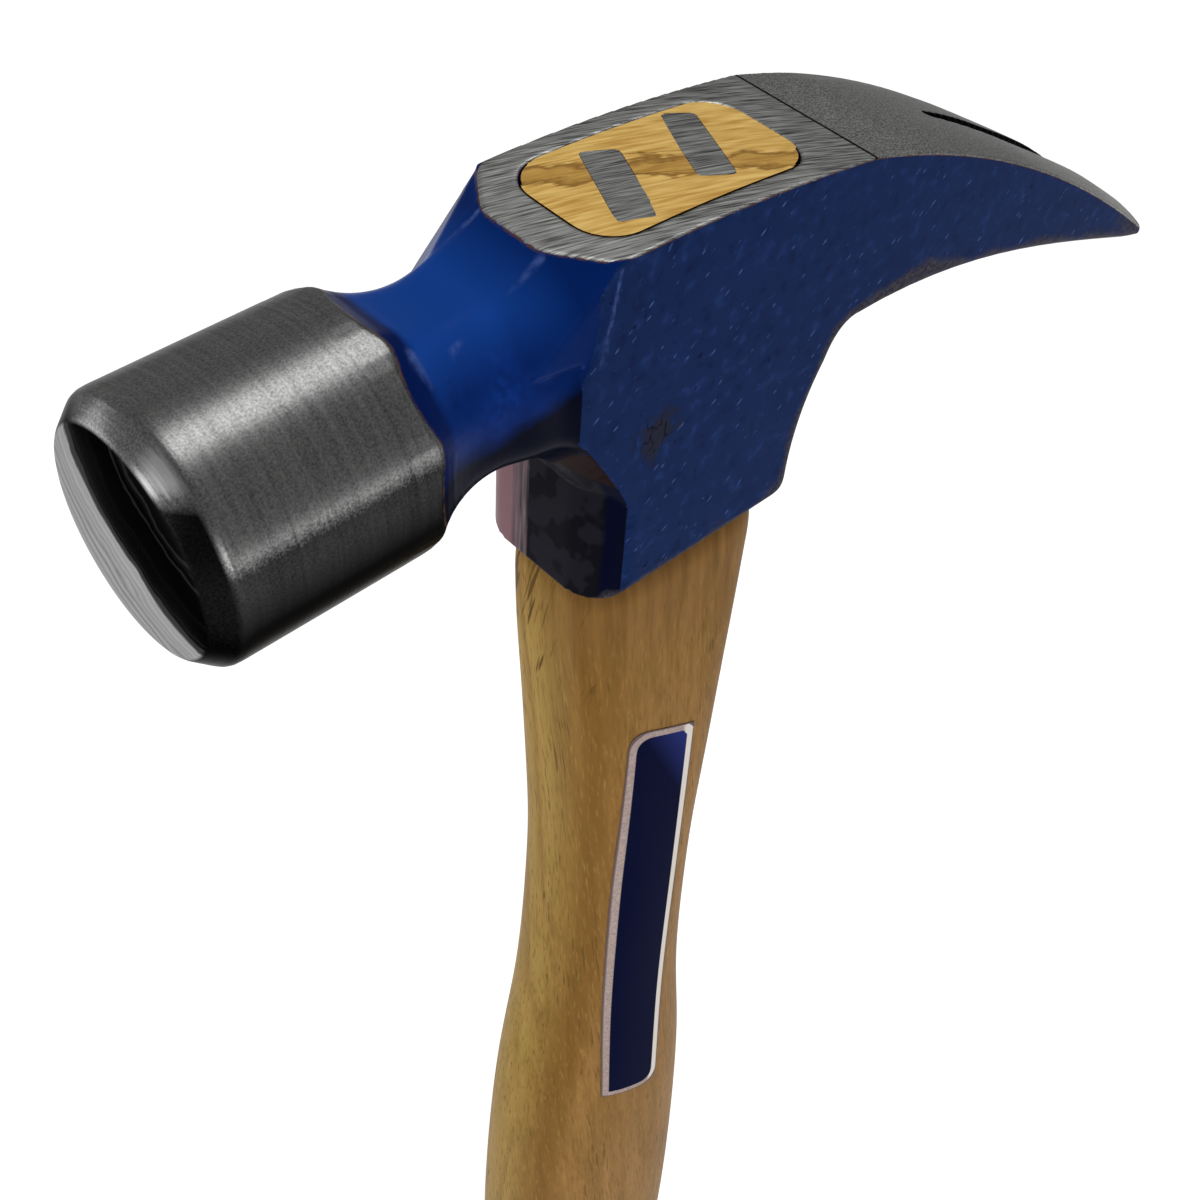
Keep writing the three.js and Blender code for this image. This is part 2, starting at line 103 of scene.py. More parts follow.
def selectFaces(piece, wanted):
    bpy.ops.object.mode_set(mode="EDIT")
    bpy.ops.mesh.select_mode(type="FACE")
    bpy.ops.mesh.select_all(action="DESELECT")
    bpy.ops.object.mode_set(mode="OBJECT")
    for face in piece.data.polygons:
        face.select = bool(wanted(face))
    bpy.ops.object.mode_set(mode="EDIT")


# Head: the forging from the frame with its edges worn soft, and the poll turned anew at its front
head = {
    "voxel": 0.22 * mm,
    "softTurns": 4,          # smoothing passes all over
    "neckTurns": 24,         # further passes on the neck, which was never machined
    "tipTurns": 26,          # and on the claws' blunt ends
    "keep": 0.26,            # share of the faces left after thinning out the flats
    "pollAxisDrop": 13.3 * mm,
    "pollRadius": 13.5 * mm,
    "pollFacets": 192,
    "pollProfile": [(41.6, 13.5), (50.0, 13.51), (57.0, 13.51), (59.4, 13.51), (60.1, 13.46), (60.55, 13.3),
                    (60.9, 13.05), (62.45, 11.75), (62.7, 11.45), (62.85, 11.1), (63.2, 9.2), (63.5, 7.2),
                    (63.75, 5.0), (63.92, 2.8), (64.0, 1.0)],    # reach from the eye's axis, radius
    "pollJoin": 42.2 * mm,   # where the turned poll takes over from the forging
    "gusset": [(-19.8, 5.1, -0.5), (-15.5, 10.15, -0.5), (-25.3, 9.6, -9.3), (-26.5, 4.5, -3.5),
               (-16.0, 4.0, -11.0), (-16.0, 10.0, -11.0)],    # fills the neck out to the corner of the top
    "topFront": -19.8,
    "clawLine": 20.8,
    "clawLineDrop": 3.6,
    "clawTip": (87.7, 42.4),
    "clawBend": (0.46, 0.24),
    "cheekHalf": 10.25,
    "neckBox": ((-36.5, -17.5), (-32, -1.2), 10.1),    # along, upright, half width of the neck
    "crownRise": 2.1 * mm,   # the claws are domed across towards their tips
    "crownFrom": 58,
    "crownRun": 27,
    "tipsFrom": 84,
    "topCorner": (-13.18, 5.14, 5.0),    # centre and radius of the rounded corner of the ground top
    "glints": [(-20.2, 4.5, -0.5, -31.7, 5.7, -4.8, 0.35), (-36.2, 5.6, -2.8, -36.2, 11.4, -12.0, 0.6),
               (-15.9, 9.9, -1.0, -19.1, 9.6, -10.6, 0.16),
               (-15.4, 10.25, -0.9, -17.2, 10.25, -10.9, 0.16)],    # painted highlights along the neck's ridges and the cheeks' front bevels: two ends and a width
    "lowerEdge": [(-15.5, -47.3), (12.9, -47.3), (14.8, -46.5), (15.5, -44.7), (16.0, -38), (17.2, -33),
                  (19, -29.2), (20.2, -26.6), (23, -25.2), (32, -25.6), (42, -27), (52, -29.3), (62, -32.4),
                  (74, -37.2), (87.7, -43.3)],    # outline of the cheeks from the skirt to the claw tips
}

hammerHead = copyOfNode("head", "hammerHead")
for side in (1, -1):
    gusset = bpy.data.objects.new("gusset", bpy.data.meshes.new("gusset"))
    gusset.data.from_pydata([(eyeX + x * mm, side * y * mm, topZ + z * mm) for x, y, z in head["gusset"]], [], [])
    bpy.context.scene.collection.objects.link(gusset)
    pickOnly(gusset)
    bpy.ops.object.mode_set(mode="EDIT")
    bpy.ops.mesh.select_all(action="SELECT")
    bpy.ops.mesh.convex_hull()
    bpy.ops.mesh.normals_make_consistent(inside=False)
    bpy.ops.object.mode_set(mode="OBJECT")
    hammerHead.select_set(True)
    bpy.context.view_layer.objects.active = hammerHead
    bpy.ops.object.join()
applyModifier(hammerHead, "REMESH", mode="VOXEL", voxel_size=head["voxel"])
share = np.linspace(0, 1, 200)
bend = 2 * share * (1 - share)
tipX, tipDrop = head["clawTip"]
run, fall = tipX - head["clawLine"], tipDrop - head["clawLineDrop"]
clawX = head["clawLine"] + run * (bend * head["clawBend"][0] + share ** 2)
clawZ = -head["clawLineDrop"] - fall * (bend * head["clawBend"][1] + share ** 2)


# Level of the head's top at a reach from the eye's axis, in millimetres.
def topLevel(x):
    along = np.clip((x - head["topFront"]) / (head["clawLine"] - head["topFront"]), 0, 1)
    return np.where(x < head["clawLine"], -head["clawLineDrop"] * along ** 2, np.interp(x, clawX, clawZ))


neckGroup = hammerHead.vertex_groups.new(name="neck")
bodyGroup = hammerHead.vertex_groups.new(name="body")
crownGroup = hammerHead.vertex_groups.new(name="crown")
tipGroup = hammerHead.vertex_groups.new(name="tips")
points = np.array([v.co for v in hammerHead.data.vertices])
headX, headY, headZ = ((points - (eyeX, 0, topZ)) / mm).T
(front, rear), (bottom, top), halfWidth = head["neckBox"]
neck = (front < headX) & (headX < rear) & (bottom < headZ) & (headZ < top) & (np.abs(headY) < halfWidth)
rise = np.clip((headX - head["crownFrom"]) / head["crownRun"], 0, 1) ** 1.6    # slow at first, then steeper
rise *= np.clip((89.5 - headX) / 3, 0.6, 1)                                    # less again at the very tip
rise *= np.clip(1 - np.abs(headY / head["cheekHalf"]) ** 3, 0, 1)              # none at the sides
rise *= np.clip(1.3 - (topLevel(headX) - headZ) / 2.4, 0, 1)                   # none below the upper skin
neckGroup.add(np.flatnonzero(neck).tolist(), 1.0, "REPLACE")
bodyGroup.add(np.flatnonzero(headX < head["tipsFrom"] + 1).tolist(), 1.0, "REPLACE")
tipGroup.add(np.flatnonzero(headX > head["tipsFrom"]).tolist(), 1.0, "REPLACE")
for index in np.flatnonzero(rise > 0.005).tolist():
    crownGroup.add([index], float(rise[index]), "REPLACE")
applyModifier(hammerHead, "DISPLACE", direction="Z", strength=head["crownRise"], mid_level=0, vertex_group="crown")
applyModifier(hammerHead, "SMOOTH", factor=0.5, iterations=head["neckTurns"], vertex_group="neck")
applyModifier(hammerHead, "SMOOTH", factor=0.5, iterations=head["tipTurns"], vertex_group="tips")
applyModifier(hammerHead, "SMOOTH", factor=0.5, iterations=head["softTurns"], vertex_group="body")
hammerHead.vertex_groups.clear()
bpy.ops.object.mode_set(mode="EDIT")
bpy.ops.mesh.select_all(action="SELECT")
bpy.ops.mesh.bisect(plane_co=(eyeX - head["pollJoin"], 0, 0), plane_no=(1, 0, 0), clear_inner=True)
bpy.ops.object.mode_set(mode="OBJECT")
applyModifier(hammerHead, "DECIMATE", ratio=head["keep"])
bpy.ops.object.shade_smooth()
applyModifier(hammerHead, "WEIGHTED_NORMAL", keep_sharp=True)

start, radius = head["pollProfile"][0]
axis = Vector((eyeX, 0, topZ - head["pollAxisDrop"]))
bpy.ops.object.select_all(action="DESELECT")
bpy.ops.mesh.primitive_circle_add(vertices=head["pollFacets"], radius=radius * mm,
                                  location=axis - Vector((start * mm, 0, 0)), rotation=(0, -pi / 2, 0))
bpy.ops.object.transform_apply(location=True, rotation=True, scale=True)
bpy.ops.object.mode_set(mode="EDIT")
bpy.ops.mesh.select_all(action="SELECT")
for (reach, radius), (nextReach, nextRadius) in zip(head["pollProfile"], head["pollProfile"][1:]):
    step = (reach - nextReach) * mm
    bpy.ops.mesh.extrude_region_move(TRANSFORM_OT_translate={"value": (step, 0, 0)})
    share = nextRadius / radius
    ringCentre = axis - Vector((nextReach * mm, 0, 0))
    bpy.ops.transform.resize(value=(1, share, share), center_override=ringCentre)
bpy.ops.mesh.merge(type="CENTER")
bpy.ops.mesh.select_all(action="SELECT")
bpy.ops.mesh.normals_make_consistent(inside=False)
bpy.ops.object.mode_set(mode="OBJECT")
bpy.ops.object.shade_smooth_by_angle(angle=radians(35))
hammerHead.select_set(True)
bpy.context.view_layer.objects.active = hammerHead
bpy.ops.object.join()
print("head", len(hammerHead.data.polygons), "faces")

# What the head's finish follows: depth under the ground top, depth under the turned poll,
# and distance from the lower outline of the cheeks, all in millimetres.
points = np.array([v.co for v in hammerHead.data.vertices])
headX, headY, headZ = ((points - (eyeX, 0, topZ)) / mm).T
belowTop = np.where(headX < head["topFront"] - 1, 9.0, topLevel(headX) - headZ)
cornerX, cornerY, cornerRound = head["topCorner"]
back, out = cornerX - headX, np.abs(headY) - cornerY
corner = np.where((back > 0) & (back < 1.175 * out), np.hypot(back, out) - cornerRound, -9)
belowTop = np.maximum(belowTop, np.clip(corner + 0.1, -9, 0.6))
pollDepth = head["pollRadius"] / mm - np.hypot(headY, headZ + head["pollAxisDrop"] / mm)
pollDepth = np.where(headX < -58, 0, np.where(headX > -36, 9.0, pollDepth))
edgeAway = np.full(len(points), 1e9)
for (ax, az), (bx, bz) in zip(head["lowerEdge"], head["lowerEdge"][1:]):
    length2 = (bx - ax) ** 2 + (bz - az) ** 2
    t = np.clip(((headX - ax) * (bx - ax) + (headZ - az) * (bz - az)) / length2, 0, 1)
    edgeAway = np.minimum(edgeAway, np.hypot(headX - ax - t * (bx - ax), headZ - az - t * (bz - az)))
edgeAway += np.clip(9.4 - np.abs(headY), 0, 9) * 1.2    # the wear ends soon below the edge
facing = np.array([v.normal for v in hammerHead.data.vertices])
skirtFront = np.clip((-facing[:, 0] - 0.25) * 4, 0, 1) * (headX < -9) * (headZ < -22.5) * (headX > -19)
slotWall = np.clip((np.abs(facing[:, 1]) - 0.3) * 4, 0, 1) * (headX > 42.5) * (np.abs(headY) < 6.3)
glint = np.zeros(len(points))
here = np.column_stack([headX, np.abs(headY), headZ])
for ax, ay, az, bx, by, bz, width in head["glints"]:
    first, way = np.array((ax, ay, az)), np.array((bx - ax, by - ay, bz - az))
    t = np.clip((here - first) @ way / (way @ way), 0, 1)
    away = np.linalg.norm(here - first - t[:, None] * way, axis=1)
    glint = np.maximum(glint, np.clip(1.5 - away / width, 0, 1))
for name, values in (("belowTop", belowTop), ("pollDepth", pollDepth), ("edgeAway", edgeAway),
                     ("skirtFront", skirtFront), ("glint", glint), ("slotWall", slotWall)):
    field = hammerHead.data.attributes.new(name, "FLOAT", "POINT")
    field.data.foreach_set("value", values.astype(np.float32))

# Handle: the frame's turned hickory, smoothed between its sections
handle = {"sharp": 28, "levels": 2, "endGrainZ": 325.5 * mm, "tenonZ": 284 * mm, "tenonHalf": (12 * mm, 6 * mm),
          "swell": 0.25 * mm}    # the wedges swell the tenon tight

handleWood = copyOfNode("handle", "handleWood")
tenonX, tenonY = handle["tenonHalf"]
selectFaces(handleWood, lambda face: face.center.z > handle["tenonZ"] and abs(face.normal.z) < 0.4
            and (abs(face.center.y) > tenonY or abs(face.center.x - eyeX) > tenonX))
bpy.ops.transform.shrink_fatten(value=handle["swell"])
bpy.ops.mesh.select_all(action="SELECT")
bpy.ops.mesh.tris_convert_to_quads(face_threshold=radians(8), shape_threshold=radians(60))
bpy.ops.mesh.select_mode(type="EDGE")
bpy.ops.mesh.select_all(action="DESELECT")
bpy.ops.mesh.edges_select_sharp(sharpness=radians(handle["sharp"]))
bpy.ops.transform.edge_crease(value=1.0)
bpy.ops.object.mode_set(mode="OBJECT")
applyModifier(handleWood, "SUBSURF", levels=handle["levels"], render_levels=handle["levels"])
bpy.ops.object.shade_smooth_by_angle(angle=radians(handle["sharp"]))
print("handle", len(handleWood.data.polygons), "faces")

# Wood wedge: driven tight, so its flanks are pushed out to the walls of its kerf
wedge = {"turn": radians(25), "push": 0.24 * mm}

kerfWedge = copyOfNode("wood_wedge", "kerfWedge")
flank = Vector((sin(wedge["turn"]), cos(wedge["turn"]), 0))
for side in (1, -1):
    selectFaces(kerfWedge, lambda face: side * face.normal.dot(flank) > 0.9)
    bpy.ops.transform.translate(value=flank * side * wedge["push"])
    bpy.ops.object.mode_set(mode="OBJECT")

# Steel wedges: pushed out on all sides in the same way
driven = {}
for node, pieceName in (("steel_wedge_front", "frontSteelWedge"), ("steel_wedge_rear", "rearSteelWedge")):
    driven[node] = copyOfNode(node, pieceName)
    selectFaces(driven[node], lambda face: abs(face.normal.z) < 0.5)
    bpy.ops.transform.shrink_fatten(value=wedge["push"], use_even_offset=True)
    bpy.ops.object.mode_set(mode="OBJECT")

# Label: the outer skin of the frame's foil, laid close on the wood
label = {"lift": 0.06 * mm, "thickness": 0.08 * mm, "left": -7.95, "right": 3.95, "top": 253.0,
         "bottom": 158.0, "slant": 6.6 / 11.9, "corner": 4.0}

handleLabel = copyOfNode("handle_label", "handleLabel")
selectFaces(handleLabel, lambda face: face.normal.y > -0.45)
bpy.ops.mesh.delete(type="FACE")
bpy.ops.mesh.select_all(action="SELECT")
bpy.ops.mesh.tris_convert_to_quads()
bpy.ops.mesh.subdivide(number_cuts=3)
bpy.ops.object.mode_set(mode="OBJECT")
applyModifier(handleLabel, "SHRINKWRAP", target=handleWood, wrap_method="PROJECT", use_project_y=True,
              use_positive_direction=True, use_negative_direction=True, offset=label["lift"],
              wrap_mode="ABOVE_SURFACE")
applyModifier(handleLabel, "SOLIDIFY", thickness=label["thickness"], offset=1)
points = np.array([v.co for v in handleLabel.data.vertices]) / mm
across = points[:, 0] - (label["left"] + label["right"]) / 2
upright = points[:, 2] + label["slant"] * (points[:, 0] - label["left"]) - (label["top"] + label["bottom"]) / 2
rounding = np.where(across * upright < 0, label["corner"], 0.4)
sideways = np.abs(across) - (label["right"] - label["left"]) / 2 + rounding
endways = np.abs(upright) - (label["top"] - label["bottom"]) / 2 + rounding
outside = np.hypot(np.maximum(sideways, 0), np.maximum(endways, 0)) + np.minimum(np.maximum(sideways, endways), 0)
field = handleLabel.data.attributes.new("fromRim", "FLOAT", "POINT")
field.data.foreach_set("value", (rounding - outside).astype(np.float32))
bpy.ops.object.shade_smooth_by_angle(angle=radians(40))
print("label", len(handleLabel.data.polygons), "faces")


# Blends two colours or two numbers as a value crosses a span.
def blend(material, value, span, first, second, numbers=False):
    share = addNode(material, "MapRange", None, {"Value": value, "From Min": span[0], "From Max": span[1]})
    return addNode(material, "Mix", {"data_type": "FLOAT" if numbers else "RGBA"},
                   {"Factor": share, "A": first, "B": second})


# Drop-forged steel, sprayed navy, then ground bare on poll, top and claws. Under thin gloss
# paint the forging's soft dents show; the belt leaves long scratches, the lathe fine rings.
def headFinish(name, ior, satin):
    finish = newMaterial(name)
    place = addNode(finish, "TexCoord").outputs["Object"]
    local = addNode(finish, "Mapping", None,
                    {"Vector": place, "Scale": (1000, 1000, 1000), "Location": (1.5, 0, -330)})
    x, y, z = addNode(finish, "SeparateXYZ", None, {0: local}).outputs    # millimetres from the eye's top
    fine = addNode(finish, "TexNoise", None, {"Vector": local, "Scale": 1.1, "Detail": 3.0})
    broad = addNode(finish, "TexNoise", None, {"Vector": local, "Scale": 0.13, "Detail": 4.0})
    ragged = blend(finish, fine, (0.3, 0.7), -0.06, 0.06, True)
    depths = {}
    for key in ("belowTop", "pollDepth", "edgeAway", "skirtFront", "glint", "slotWall"):
        depths[key] = addNode(finish, "Attribute", {"attribute_name": key}).outputs["Fac"]
    topDepth = addNode(finish, "Math", {"operation": "ADD"}, {0: depths["belowTop"], 1: ragged})
    turnDepth = addNode(finish, "Math", {"operation": "ADD"}, {0: depths["pollDepth"], 1: ragged})

    # bare steel, and the brown line where the paint has chipped back from it
    topBare = blend(finish, topDepth, (0.17, 0.1), 0.0, 1.0, True)
    turnBare = blend(finish, turnDepth, (0.26, 0.18), 0.0, 1.0, True)
    bare = addNode(finish, "Math", {"operation": "MAXIMUM"}, {0: topBare, 1: turnBare})
    chipped = addNode(finish, "Math", {"operation": "MAXIMUM"},
                      {0: blend(finish, topDepth, (0.32, 0.2), 0.0, 1.0, True),
                       1: blend(finish, turnDepth, (0.5, 0.3), 0.0, 1.0, True)})
    chipped = addNode(finish, "Math", {"operation": "MULTIPLY"},
                      {0: chipped, 1: blend(finish, fine, (0.46, 0.54), 0.15, 0.9, True)})

    # belt scratches 0.1 mm wide, drawn 0.2 mm wide so that they show
    turned = addNode(finish, "Mapping", None, {"Vector": local, "Rotation": (0, 0, radians(15))})
    belt = addNode(finish, "TexNoise", None,
                   {"Vector": addNode(finish, "Mapping", None, {"Vector": turned, "Scale": (0.22, 5.0, 0.3)}),
                    "Scale": 1.0, "Detail": 4.0})
    topTone = blend(finish, x, (-16.0, 4.0), blend(finish, belt, (0.33, 0.67), "#4e4e4d", "#c2c2bf"),
                    blend(finish, belt, (0.33, 0.67), "#464646", "#b6b6b4"))
    # 0.2 mm grit on the claws, paler where they thin out
    grit = addNode(finish, "TexNoise", None, {"Vector": local, "Scale": 4.6, "Detail": 4.0})
    clawTone = blend(finish, grit, (0.3, 0.7), "#464646", "#b8b8b6")
    clawTone = blend(finish, x, (52, 80), clawTone, blend(finish, grit, (0.35, 0.65), "#8e8e8e", "#d0d0ce"))
    # a dark line where the claws begin
    line = addNode(finish, "Math", {"operation": "ABSOLUTE"},
                   {0: addNode(finish, "Math", {"operation": "ADD"}, {0: x, 1: -20.8})})
    upperTone = blend(finish, x, (20.75, 20.85), topTone, clawTone)
    upperTone = blend(finish, line, (0.28, 0.12), upperTone, "#1c1c1c")

    # lathe rings 0.3 mm apart round the poll, its skin mottled, with painted shade on its lower side
    rings = addNode(finish, "TexNoise", None,
                    {"Vector": addNode(finish, "Mapping", None, {"Vector": local, "Scale": (2.0, 0.06, 0.06)}),
                     "Scale": 1.0, "Detail": 3.0})
    mottled = addNode(finish, "Math", {"operation": "ADD"},
                      {0: addNode(finish, "Math", {"operation": "MULTIPLY"}, {0: rings, 1: 0.5}), 1: grit})
    turnTone = blend(finish, mottled, (0.5, 1.0), "#505050", "#7e7e7d")
    turnTone = blend(finish, y, (0.0, 4.5), turnTone, blend(finish, mottled, (0.5, 1.0), "#646464", "#9a9a99"))
    # painted shade on the poll's lower side
    shadedUnderTone = blend(finish, mottled, (0.5, 1.0), "#222222", "#3a3a3a")
    shadedUnderTone = blend(finish, z, (-11.0, -16.0), shadedUnderTone, "#1c1c1c")
    uneven = addNode(finish, "Math", {"operation": "MULTIPLY"}, {0: mottled, 1: 1.6})
    lower = addNode(finish, "Math", {"operation": "ADD"}, {0: z, 1: uneven})
    turnTone = blend(finish, lower, (-6.6, -8.1), turnTone, shadedUnderTone)
    hub = addNode(finish, "Mapping", None, {"Vector": local, "Location": (0, 0, 13.3), "Scale": (0, 1, 1)})
    fromAxis = addNode(finish, "VectorMath", {"operation": "LENGTH"}, {0: hub}).outputs["Value"]
    # painted reflection on the face, split on a slant: a bright lower side, a black upper one
    slant = addNode(finish, "Math", {"operation": "ADD"},
                    {0: addNode(finish, "Math", {"operation": "MULTIPLY"}, {0: y, 1: 0.605}),
                     1: addNode(finish, "Math", {"operation": "MULTIPLY"}, {0: z, 1: -0.796})})
    slant = addNode(finish, "Math", {"operation": "ADD"},
                    {0: slant, 1: blend(finish, broad, (0.3, 0.7), -0.9, 0.9, True)})
    lines = addNode(finish, "TexNoise", {"noise_dimensions": "1D"}, {"W": slant, "Scale": 0.9, "Detail": 3.0})
    paintedBrightReflection = blend(finish, lines, (0.35, 0.6), "#8e8e8e", "#bebebe")
    paintedDarkReflection = blend(finish, lines, (0.56, 0.64), "#0f0f0f", "#262626")
    faceTone = blend(finish, slant, (9.0, 9.3), blend(finish, slant, (8.0, 8.2), paintedDarkReflection, "#3c3c3c"), paintedBrightReflection)
    # painted reflections on the rim bevel: black, greyer on its upper side
    bevelTone = blend(finish, grit, (0.3, 0.7), "#0a0a0a", "#191919")
    bevelTone = blend(finish, addNode(finish, "Math", {"operation": "ADD"}, {0: z, 1: ragged}), (-4.2, -2.6),
                      bevelTone, blend(finish, grit, (0.3, 0.7), "#565656", "#848484"))
    # painted highlight where the main highlight runs over the rim bevel
    bevelHighlight = addNode(finish, "Mapping", None, {"Vector": local, "Location": (0, 6.0, 1.9), "Scale": (0, 1, 1.4)})
    bevelHighlight = addNode(finish, "VectorMath", {"operation": "LENGTH"}, {0: bevelHighlight}).outputs["Value"]
    bevelHighlight = addNode(finish, "Math", {"operation": "ADD"},
                    {0: bevelHighlight, 1: blend(finish, rings, (0.35, 0.65), -0.8, 0.8, True)})
    bevelTone = blend(finish, bevelHighlight, (3.0, 1.4), bevelTone, "#a2a2a2")
    endTone = blend(finish, fromAxis, (11.55, 11.25), bevelTone, faceTone)
    turnTone = blend(finish, x, (-60.3, -60.8), turnTone, endTone)
    steelTone = blend(finish, x, (-30.0, -31.0), upperTone, turnTone)

    # paint: on the cheeks mottled every 2 mm, with flecks 3 mm long and 0.8 mm wide, pits and one cracked scuff
    if satin:
        paintTone = blend(finish, broad, (0.3, 0.7), "#11234d", "#172a58")
        paintTone = blend(finish, fine, (0.35, 0.65), paintTone, "#12264f")
        mottle = addNode(finish, "TexNoise", None, {"Vector": local, "Scale": 0.5, "Detail": 5.0})
        paintTone = blend(finish, mottle, (0.44, 0.26), paintTone, "#0d1c42")
        paintTone = blend(finish, mottle, (0.56, 0.76), paintTone, "#1f3568")
        slope = addNode(finish, "Mapping", None, {"Vector": local, "Rotation": (0, radians(40), 0)})
        thin = addNode(finish, "Mapping", None, {"Vector": slope, "Scale": (0.3, 0.0, 1.3)})
        flecks = addNode(finish, "TexVoronoi", None, {"Vector": thin, "Scale": 1.0}).outputs["Distance"]
        flecks = addNode(finish, "Math", {"operation": "ADD"},
                         {0: flecks, 1: blend(finish, fine, (0.4, 0.6), 0.0, 0.14, True)})
        paintTone = blend(finish, flecks, (0.2, 0.08), paintTone, "#465c94")
        pits = addNode(finish, "TexNoise", None, {"Vector": local, "Scale": 0.8, "Detail": 2.0})
        paintTone = blend(finish, pits, (0.27, 0.24), paintTone, "#0a112c")
        scuff = addNode(finish, "Mapping", None, {"Vector": local, "Location": (8.7, 0, 24.4), "Scale": (1, 0, 1)})
        scuff = addNode(finish, "VectorMath", {"operation": "LENGTH"}, {0: scuff}).outputs["Value"]
        smudge = addNode(finish, "Math", {"operation": "ADD"},
                         {0: scuff, 1: blend(finish, mottle, (0.25, 0.75), -2.4, 2.4, True)})
        paintTone = blend(finish, smudge, (3.4, 1.4), paintTone, "#222433")
        crack = addNode(finish, "TexNoise", None,
                        {"Vector": addNode(finish, "Mapping", None, {"Vector": local, "Scale": (0.5, 0, 0.22)}),
                         "Scale": 1.0, "Detail": 2.0})
        crack = addNode(finish, "Math", {"operation": "ABSOLUTE"},
                        {0: addNode(finish, "Math", {"operation": "ADD"}, {0: crack, 1: -0.5})})
        crack = addNode(finish, "Math", {"operation": "MULTIPLY"},
                        {0: blend(finish, crack, (0.02, 0.008), 0.0, 1.0, True),
                         1: blend(finish, scuff, (3.6, 2.2), 0.0, 1.0, True)})
        paintTone = blend(finish, crack, (0, 1), paintTone, "#0c1022")
    # on the neck glossy and uneven, with painted light above and painted shade black below, and the skirt's front
    # stained and rubbed, with a painted reflection on its far part
    else:
        paintTone = blend(finish, broad, (0.35, 0.65), "#081f57", "#0f3078")
        paintTone = blend(finish, fine, (0.35, 0.65), paintTone, "#0b2765")
        # painted light: the upper neck lighter
        paintTone = blend(finish, z, (-7.5, -3.5), paintTone, "#154090")
        paintTone = blend(finish, addNode(finish, "Math", {"operation": "ADD"}, {0: x, 1: ragged}), (-27.0, -19.5),
                          paintTone, "#052059")
        # painted shade on the neck's facet next to the poll
        shadedFacet = addNode(finish, "Math", {"operation": "ADD"},
                        {0: x, 1: blend(finish, broad, (0.3, 0.7), -0.6, 0.6, True)})
        paintTone = blend(finish, shadedFacet, (-35.4, -36.6), paintTone, "#071a4d")
        # painted shade: the neck's underside drawn black
        shadeBelow = addNode(finish, "Math", {"operation": "ADD"},
                      {0: z, 1: blend(finish, x, (-25.5, -18.5), 14.0, 11.4, True)})
        shadeBelow = addNode(finish, "Math", {"operation": "ADD"},
                      {0: shadeBelow, 1: blend(finish, x, (-36.0, -29.0), -1.8, 0.0, True)})
        shadeBelow = addNode(finish, "Math", {"operation": "ADD"},
                      {0: shadeBelow, 1: blend(finish, broad, (0.3, 0.7), -0.9, 0.9, True)})
        paintTone = blend(finish, shadeBelow, (1.0, -1.3), paintTone, "#05081a")
        paintTone = blend(finish, x, (-8.0, -4.0), paintTone, blend(finish, broad, (0.3, 0.7), "#11234d", "#1a2e60"))
        patches = addNode(finish, "Mapping", None, {"Vector": local, "Scale": (0.2, 0.3, 0.24)})
        patches = addNode(finish, "TexNoise", None, {"Vector": patches, "Scale": 1.0, "Detail": 2.0})
        stains = blend(finish, patches, (0.49, 0.55), "#1d1c23", "#101016")
        rubs = addNode(finish, "Mapping", None, {"Vector": local, "Scale": (0.2, 1.5, 0.09)})
        rubs = addNode(finish, "TexNoise", None, {"Vector": rubs, "Scale": 1.0, "Detail": 3.0})
        streaks = blend(finish, rubs, (0.35, 0.65), "#3f3a3c", "#7c6a70")
        # painted reflection: pinkish on the far part of the skirt's front
        streaks = blend(finish, y, (3.0, 4.5), streaks, "#806268")
        sideways = addNode(finish, "Math", {"operation": "ADD"}, {0: y, 1: ragged})
        frontTone = blend(finish, sideways, (1.2, 1.7), stains, streaks)
        frontTone = blend(finish, sideways, (-8.5, -9.0), frontTone, "#060920")
        frontTone = blend(finish, sideways, (8.3, 9.3), frontTone, "#0b1430")
        rust = addNode(finish, "Math", {"operation": "ADD"},
                       {0: addNode(finish, "Math", {"operation": "MULTIPLY"}, {0: y, 1: 0.9}),
                        1: addNode(finish, "Math", {"operation": "MULTIPLY"}, {0: z, 1: -1.0})})
        rust = addNode(finish, "Math", {"operation": "ADD"}, {0: rust, 1: ragged})
        frontTone = blend(finish, rust, (20.6, 20.0), frontTone, "#1e1012")
        paintTone = blend(finish, depths["skirtFront"], (0.4, 0.6), paintTone, frontTone)

    # worn lower edges and claw tips
    reach = addNode(finish, "Math", {"operation": "ADD"},
                    {0: blend(finish, x, (14.0, 24.0), 1.5, 3.2, True),
                     1: blend(finish, x, (34.0, 44.0), 0.0, -2.2, True)})
    wornBy = addNode(finish, "Math", {"operation": "ADD"},
                     {0: addNode(finish, "Math", {"operation": "SUBTRACT"}, {0: depths["edgeAway"], 1: reach}),
                      1: blend(finish, broad, (0.3, 0.7), 0.9, -0.9, True)})
    wornBy = addNode(finish, "Math", {"operation": "ADD"},
                     {0: wornBy, 1: addNode(finish, "Math", {"operation": "MULTIPLY"}, {0: ragged, 1: 6.0})})
    worn = blend(finish, wornBy, (0.5, -0.6), 0.0, 0.9, True)
    outward = addNode(finish, "Math", {"operation": "MULTIPLY"}, {0: ragged, 1: 12.0})
    outward = addNode(finish, "Math", {"operation": "ADD"}, {0: x, 1: outward})
    tips = blend(finish, outward, (76.5, 82.0), 0.0, 0.75, True)
    worn = addNode(finish, "Math", {"operation": "MAXIMUM"}, {0: worn, 1: tips})
    wornTone = blend(finish, addNode(finish, "TexNoise", None, {"Vector": local, "Scale": 2.2, "Detail": 4.0}),
                     (0.35, 0.65), "#2a272e", "#48444c")
    paintTone = blend(finish, worn, (0, 1), paintTone, wornTone)
    # painted highlights along the neck's ridges and the cheeks' front bevels
    glints = addNode(finish, "Math", {"operation": "MULTIPLY"},
                     {0: depths["glint"], 1: blend(finish, fine, (0.35, 0.65), 0.1, 0.7, True)})
    paintTone = blend(finish, glints, (0, 1), paintTone, "#4a609c")
    paintTone = blend(finish, chipped, (0, 1), paintTone, "#5a3c26")

